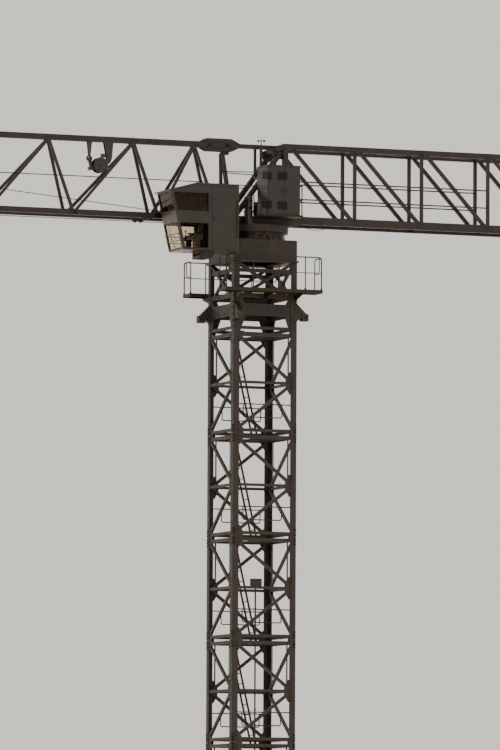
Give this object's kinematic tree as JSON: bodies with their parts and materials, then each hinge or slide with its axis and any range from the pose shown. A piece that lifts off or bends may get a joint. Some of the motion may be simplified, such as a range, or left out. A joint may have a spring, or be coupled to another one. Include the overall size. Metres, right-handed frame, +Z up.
{
  "type": "flat-top tower crane",
  "caption": "Flat-top tower crane with a square lattice mast, head platform, slewing upper works with cab, triangular lattice jib and box lattice counter-jib.",
  "frame": {"origin": "middle of the base cross's flat underside", "axes": "+Z up the mast, the jib along -X, the counter-jib along +X, the cab on the -Y side"},
  "size_m": [32.34, 3.53, 24.031],
  "materials": {
    "mast_paint": "weathered dark brown structural paint, semi-matt",
    "upper_paint": "weathered dark brown structural paint, semi-matt",
    "galvanised": "dulled galvanised steel",
    "bare_steel": "greased machined steel",
    "cable_rubber": "black cable sheath",
    "wire_rope": "greased wire rope",
    "cab_paint": "dark brown enamel, satin",
    "cab_glazing": "smoked safety glass",
    "seat_plastic": "black seat and consoles",
    "cabinet_paint": "dark enamelled sheet",
    "machinery_paint": "oily dark machinery enamel",
    "ballast": "rough grey ballast slab"
  },
  "bodies": {
    "tower": {"base_cross": "mast_paint", "leg_front_left": "mast_paint", "leg_front_right": "mast_paint", "leg_back_right": "mast_paint", "leg_back_left": "mast_paint", "side_front": "mast_paint", "side_right": "mast_paint", "side_back": "mast_paint", "side_left": "mast_paint", "ladders": "galvanised", "rest_platforms": "galvanised", "platform_rails": "galvanised", "power_cable": "cable_rubber", "collar_arms": "mast_paint", "mast_head": "mast_paint", "head_deck": "galvanised", "deck_rails": "galvanised", "slew_block": "mast_paint", "slew_ring_fixed": "bare_steel"},
    "upper_works": {"slew_ring_top": "bare_steel", "turntable": "upper_paint", "slew_drives": "machinery_paint", "slew_frame": "upper_paint", "tower_head": "upper_paint", "pin_cheeks": "upper_paint", "cab_shell": "cab_paint", "cab_glass": "cab_glazing", "cab_seat": "seat_plastic", "cab_mount": "upper_paint", "cabinet": "cabinet_paint", "service_deck": "galvanised", "jib_top_chord": "upper_paint", "jib_side_near": "upper_paint", "jib_side_far": "upper_paint", "jib_floor": "upper_paint", "jib_tip": "upper_paint", "trolley_winch": "machinery_paint", "counter_side_near": "upper_paint", "counter_side_far": "upper_paint", "counter_top_bars": "upper_paint", "counter_deck": "galvanised", "counter_rails": "galvanised", "hoist_winch": "machinery_paint", "counterweights": "ballast", "ropes": "wire_rope", "trolley": "machinery_paint", "hook_block": "machinery_paint", "wind_gauge": "bare_steel"}
  },
  "joints": [
    {"name": "slew", "type": "hinge", "parent": "tower", "child": "upper_works", "pos_m": [0, 0, 21.2], "axis": [0, 0, 1], "continuous": true}
  ]
}
